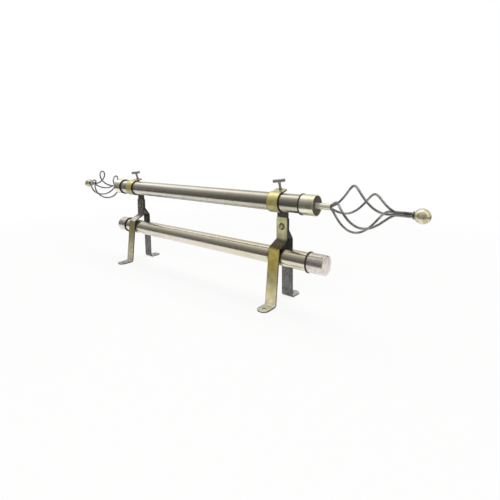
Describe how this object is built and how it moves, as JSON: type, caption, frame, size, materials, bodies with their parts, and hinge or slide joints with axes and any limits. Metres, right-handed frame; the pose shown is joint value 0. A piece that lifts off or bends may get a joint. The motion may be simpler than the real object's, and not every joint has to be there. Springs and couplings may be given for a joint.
{
  "type": "double curtain pole",
  "caption": "Double curtain pole: two round tubes on bent strap brackets, twisted-wire cage finials on the front tube and sleeve caps on the rear one.",
  "frame": {"origin": "Middle of the overall box in plan, on the plane of the bracket feet.", "axes": "+X along the poles toward the end where they reach further past a bracket, +Z from the feet (the wall) out to the front pole, +Y toward the rear arms, which is up in use."},
  "size_m": [0.7884, 0.1025, 0.1946],
  "materials": {
    "front_pole_bronze": "satin",
    "rear_pole_champagne": "satin",
    "cap_champagne": "satin",
    "ring_black": "matte",
    "strap_brass": "satin",
    "strap_dark": "satin",
    "screw_steel": "satin",
    "thumb_steel": "satin",
    "collar_gold": "satin",
    "plug_black": "matte",
    "neck_gold": "satin",
    "wire_gunmetal": "satin",
    "sleeve_dark": "satin",
    "ball_gold": "satin"
  },
  "bodies": {
    "frame": {"front_pole": "front_pole_bronze", "left_arm_nut": "screw_steel", "left_arm_screw": "screw_steel", "left_cage_wire_1": "wire_gunmetal", "left_cage_wire_2": "wire_gunmetal", "left_cage_wire_3": "wire_gunmetal", "left_cage_wire_4": "wire_gunmetal", "left_collar_ring": "ring_black", "left_finial_ball": "ball_gold", "left_finial_collar": "collar_gold", "left_finial_neck": "neck_gold", "left_finial_plug": "plug_black", "left_finial_sleeve": "sleeve_dark", "left_front_arm": "strap_brass", "left_hook_strap": "strap_brass", "left_rear_arm": "strap_dark", "right_arm_nut": "screw_steel", "right_arm_screw": "screw_steel", "right_cage_wire_1": "wire_gunmetal", "right_cage_wire_2": "wire_gunmetal", "right_cage_wire_3": "wire_gunmetal", "right_cage_wire_4": "wire_gunmetal", "right_collar_ring": "ring_black", "right_finial_ball": "ball_gold", "right_finial_collar": "collar_gold", "right_finial_neck": "neck_gold", "right_finial_plug": "plug_black", "right_finial_sleeve": "sleeve_dark", "right_front_arm": "strap_brass", "right_hook_strap": "strap_brass", "right_rear_arm": "strap_dark"},
    "rear_pole_assembly": {"rear_pole": "rear_pole_champagne", "left_rear_pole_cap": "cap_champagne", "right_rear_pole_cap": "cap_champagne", "left_cap_ring": "ring_black", "right_cap_ring": "ring_black"},
    "left_thumb": {"left_thumb_screw": "thumb_steel"},
    "right_thumb": {"right_thumb_screw": "thumb_steel"}
  },
  "joints": [
    {"name": "left_thumb_turn", "type": "hinge", "parent": "frame", "child": "left_thumb", "pos_m": [-0.1906, 0.00318, 0.17599], "axis": [0, -0.309, 0.9511], "range_deg": [0, 720]},
    {"name": "right_thumb_turn", "type": "hinge", "parent": "frame", "child": "right_thumb", "pos_m": [0.1802, 0.00318, 0.17599], "axis": [0, -0.309, 0.9511], "range_deg": [0, 720]},
    {"name": "rear_pole_slide", "type": "slide", "parent": "frame", "child": "rear_pole_assembly", "axis": [1, 0, 0], "range_m": [-0.0429, 0.0177]}
  ]
}
